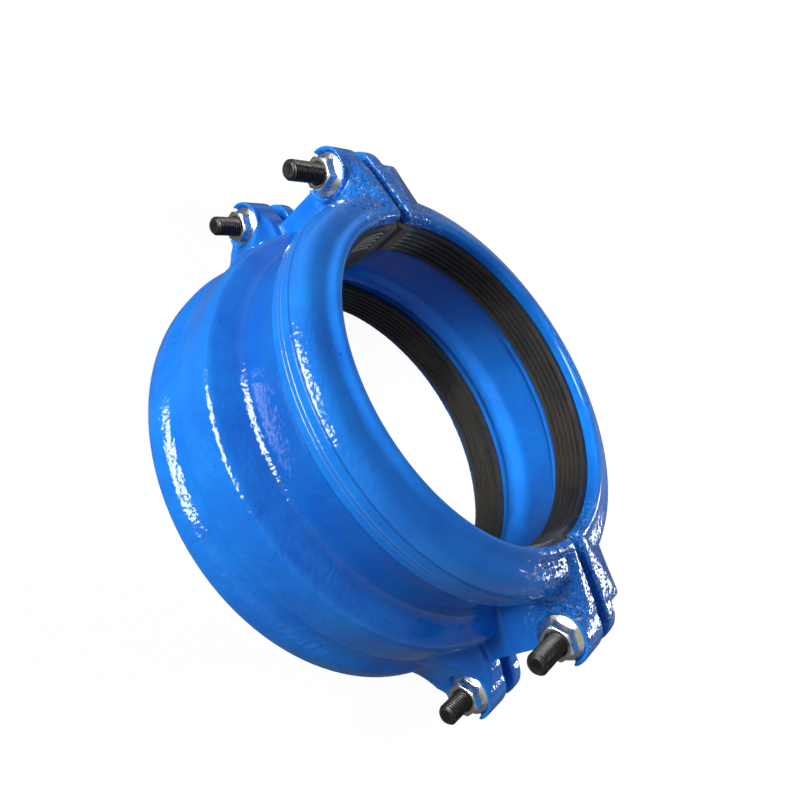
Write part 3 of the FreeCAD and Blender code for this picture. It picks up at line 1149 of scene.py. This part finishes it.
@dataclass
class FlangeNut(Fastener):
    """A plated hexagon nut with a conical flange."""

    sides: int = 72
    flats: float = 18.0 * MM
    bore: float = 6.02 * MM
    countersink: float = 6.9 * MM
    countersink_depth: float = 0.8 * MM
    foot_rise: float = 0.375 * MM
    foot_inset: float = 0.45 * MM
    flange_wall: float = 1.2 * MM
    brow_rise: float = 1.725 * MM
    brow_inset: float = 0.3375 * MM
    cone_rise: float = 3.0 * MM
    cone_overhang: float = 1.3 * MM
    hex_foot: float = 3.4 * MM
    chamfer_radius: float = 8.6 * MM
    chamfer_slope: float = 0.62
    turn: float = math.radians(14.0)
    edge: float = 0.22 * MM
    sharp: float = math.radians(24.0)

    def _hex_radius(self, angle: float) -> float:
        """The radius of the hexagon.

        Args:
            angle: The angle about the nut's axis.

        Returns:
            The radius there.
        """
        sector = math.tau / 6
        local = (angle - self.turn) % sector - sector / 2
        return self.flats / 2 / math.cos(local)

    def build(self) -> Object:
        """Makes the nut in place of its plain solid.

        Returns:
            The nut.
        """
        node = "flange_nut_" + self.corner.value
        low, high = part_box(node)
        y, z = (low.y + high.y) / 2, (low.z + high.z) / 2
        seat, top = high.x, low.x
        flange_radius = (high.y - low.y) / 2
        skin = Skin()
        profile = [
            (seat, self.bore),
            (seat, flange_radius - self.foot_inset),
            (seat - self.foot_rise, flange_radius),
            (seat - self.flange_wall, flange_radius),
            (seat - self.brow_rise, flange_radius - self.brow_inset),
            (seat - self.cone_rise, self.flats / 2 + self.cone_overhang),
            (seat - self.hex_foot, self._hex_radius),
            (lambda angle: top + (self._hex_radius(angle) - self.chamfer_radius) * self.chamfer_slope,
             self._hex_radius),
            (top, self.chamfer_radius),
            (top, self.countersink),
            (top + self.countersink_depth, self.bore),
        ]
        rings = self.turn_profile(skin, profile, y, z)
        for before, after in zip(rings, rings[1:] + rings[:1]):
            skin.bridge(after, before)
        nut = skin.piece("plated_nut_" + self.corner.value, self.sharp)
        soften(nut, "rolled_edges", self.edge, self.sharp)
        paint(nut, self.material)
        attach(nut, "nut_" + self.corner.value)
        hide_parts(node)
        return nut


@dataclass(frozen=True)
class Lamp:
    """A soft rectangular lamp that looks at the coupling.

    Its bearing is in degrees from +X towards +Y, and its height in degrees
    above the floor. A mirrored lamp shows in glossy faces, and a lighting one
    lights dull faces.
    """

    name: str
    bearing: float
    height: float
    distance: float
    width: float
    length: float
    power: float
    colour: tuple[float, float, float] = (1.0, 1.0, 1.0)
    mirrored: bool = True
    lighting: bool = True
    spread: float = 180.0
    aim: Point | None = None

    def hang(self, target: Vector) -> Object:
        """Makes the lamp.

        Args:
            target: What it looks at, unless it has an aim of its own.

        Returns:
            The lamp's object.
        """
        aim = Vector(self.aim) if self.aim else target
        data = bpy.data.lights.new(self.name, "AREA")
        data.shape = "RECTANGLE"
        data.size = self.width
        data.size_y = self.length
        data.energy = self.power
        data.color = self.colour
        data.spread = math.radians(self.spread)
        across = math.cos(math.radians(self.height))
        direction = Vector((
            across * math.cos(math.radians(self.bearing)),
            across * math.sin(math.radians(self.bearing)),
            math.sin(math.radians(self.height)),
        ))
        made = bpy.data.objects.new(self.name, data)
        turned = direction.to_track_quat("Z", "Y").to_matrix().to_4x4()
        made.matrix_world = Matrix.Translation(aim + direction * self.distance) @ turned
        made.visible_glossy = self.mirrored
        made.visible_diffuse = self.lighting
        bpy.context.scene.collection.objects.link(made)
        return made


@dataclass
class Studio:
    """The floor, the lamps, the surroundings and the camera."""

    camera_place: Point = (-0.32909, -0.04765, 0.31426)
    camera_aim: Point = (-0.00514, 0.01158, 0.06)
    camera_roll: float = 57.12
    lens: float = 30.074
    sensor: float = 36.0
    view_depth: float = 50.0
    floor_half: float = 9.0
    floor_colour: Colour = (0.5, 0.5, 0.5, 1.0)
    floor_roughness: float = 0.9
    floor_share: float = 0.86
    floor_glow: float = 1.12
    floor_mirrored: float = 0.12
    shadow_reach: Span = (0.25, 0.9)
    ambient: Colour = (0.75, 0.84, 1.0, 1.0)
    ambient_strength: float = 0.08
    glow_heights: Span = (0.05, 0.8)
    glow: Span = (0.45, 0.20)
    lamps: tuple[Lamp, ...] = (
        Lamp("key", bearing=146.0, height=7.0, distance=1.6, width=1.1, length=0.5, power=29.5,
             mirrored=False),
        Lamp("window", bearing=157.0, height=10.0, distance=1.2, width=0.85, length=0.46, power=26.0,
             lighting=False),
        Lamp("sky", bearing=238.0, height=74.0, distance=1.7, width=1.2, length=0.8, power=5.4,
             colour=(0.74, 0.86, 1.0), mirrored=False),
        Lamp("fill", bearing=-24.0, height=25.0, distance=1.8, width=0.75, length=0.26, power=15.0,
             colour=(0.94, 0.97, 1.0)),
        Lamp("well", bearing=165.0, height=43.0, distance=0.55, width=0.05, length=0.05, power=0.07,
             mirrored=False, spread=21.0, aim=(0.075, -0.03, 0.05)),
    )

    def build(self) -> None:
        """Makes everything round the coupling."""
        self._floor()
        self._surroundings()
        target = Vector(self.camera_aim)
        for lamp in self.lamps:
            lamp.hang(target)
        self._camera(target)
        bpy.context.scene.view_settings.view_transform = "Standard"

    def _floor(self) -> None:
        """A pale floor that a camera sees as white and that keeps the shadow."""
        skin = Skin()
        half = self.floor_half
        corners = ((-half, -half), (half, -half), (half, half), (-half, half))
        skin.cap(skin.ring([Vector((x, y, 0.0)) for x, y in corners]))
        floor = skin.piece("floor")
        material = bpy.data.materials.new("floor_paper")
        material.use_nodes = True
        bench = NodeBench(material.node_tree)
        shader = material.node_tree.nodes["Principled BSDF"]
        shader.inputs["Base Color"].default_value = self.floor_colour
        shader.inputs["Roughness"].default_value = self.floor_roughness
        camera, mirrored = self._rays(bench)
        strength = bench.ramp(mirrored, 0.0, 1.0, self.floor_glow, self.floor_mirrored)
        glow = bench.add("Emission", Color=WHITE, Strength=strength)
        far = bench.length(bench.add("TexCoord").outputs["Object"])
        share = bench.ramp(far, *self.shadow_reach, self.floor_share, 1.0)
        mixed = bench.add("MixShader", Fac=bench.largest(bench.product(camera, share), mirrored))
        bench.feed(mixed.inputs[1], shader.outputs[0])
        bench.feed(mixed.inputs[2], glow.outputs[0])
        bench.feed(material.node_tree.nodes["Material Output"].inputs["Surface"], mixed.outputs[0])
        paint(floor, material)

    def _surroundings(self) -> None:
        """White for the camera, greyer in reflections towards the zenith, and a dim cool fill."""
        world = bpy.data.worlds.new("surroundings")
        world.use_nodes = True
        bpy.context.scene.world = world
        bench = NodeBench(world.node_tree)
        backdrop = world.node_tree.nodes["Background"]
        camera, mirrored = self._rays(bench)
        seen = bench.largest(camera, mirrored)
        height = bench.add("SeparateXYZ", Vector=bench.add("TexCoord").outputs["Generated"]).outputs[2]
        level = bench.largest(camera, bench.ramp(height, *self.glow_heights, *self.glow))
        bench.feed(backdrop.inputs["Color"], bench.blend(seen, self.ambient, WHITE))
        bench.feed(backdrop.inputs["Strength"], bench.blend(seen, self.ambient_strength, level, Mix.FLOAT))

    @staticmethod
    def _rays(bench: NodeBench) -> tuple[Socket, Socket]:
        """Tells the camera's own rays and those that reach a glossy or clear face.

        Args:
            bench: The bench of the floor or the surroundings.

        Returns:
            The two masks.
        """
        path = bench.add("LightPath").outputs
        return path["Is Camera Ray"], bench.largest(path["Is Glossy Ray"], path["Is Transmission Ray"])

    def _camera(self, target: Vector) -> None:
        """Puts the camera at the photograph's place, rolled as it was held.

        Args:
            target: What it looks at.
        """
        place = Vector(self.camera_place)
        aim = (target - place).to_track_quat("-Z", "Y").to_matrix().to_4x4()
        data = bpy.data.cameras.new("camera")
        data.lens = self.lens
        data.sensor_width = self.sensor
        data.clip_end = self.view_depth
        made = bpy.data.objects.new("camera", data)
        roll = Matrix.Rotation(math.radians(self.camera_roll), 4, "Z")
        made.matrix_world = Matrix.Translation(place) @ aim @ roll
        bpy.context.scene.collection.objects.link(made)
        bpy.context.scene.camera = made


def main() -> None:
    """Builds the coupling and its studio."""
    logging.basicConfig(level=logging.INFO, format="%(message)s")
    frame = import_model()
    finishes = Finishes()
    for half in Half:
        LOG.info("dressed %s", CastHalf(half, finishes.epoxy).dress(frame["nodes"]).name)
        LOG.info("dressed %s", RubberHalf(half, finishes.rubber).dress(frame["nodes"]).name)
    for corner in Corner:
        LOG.info("built %s", TrackBolt(corner, finishes.oxide).build().name)
        LOG.info("built %s", FlangeNut(corner, finishes.zinc).build().name)
    Studio().build()


if __name__ == "__main__":
    main()
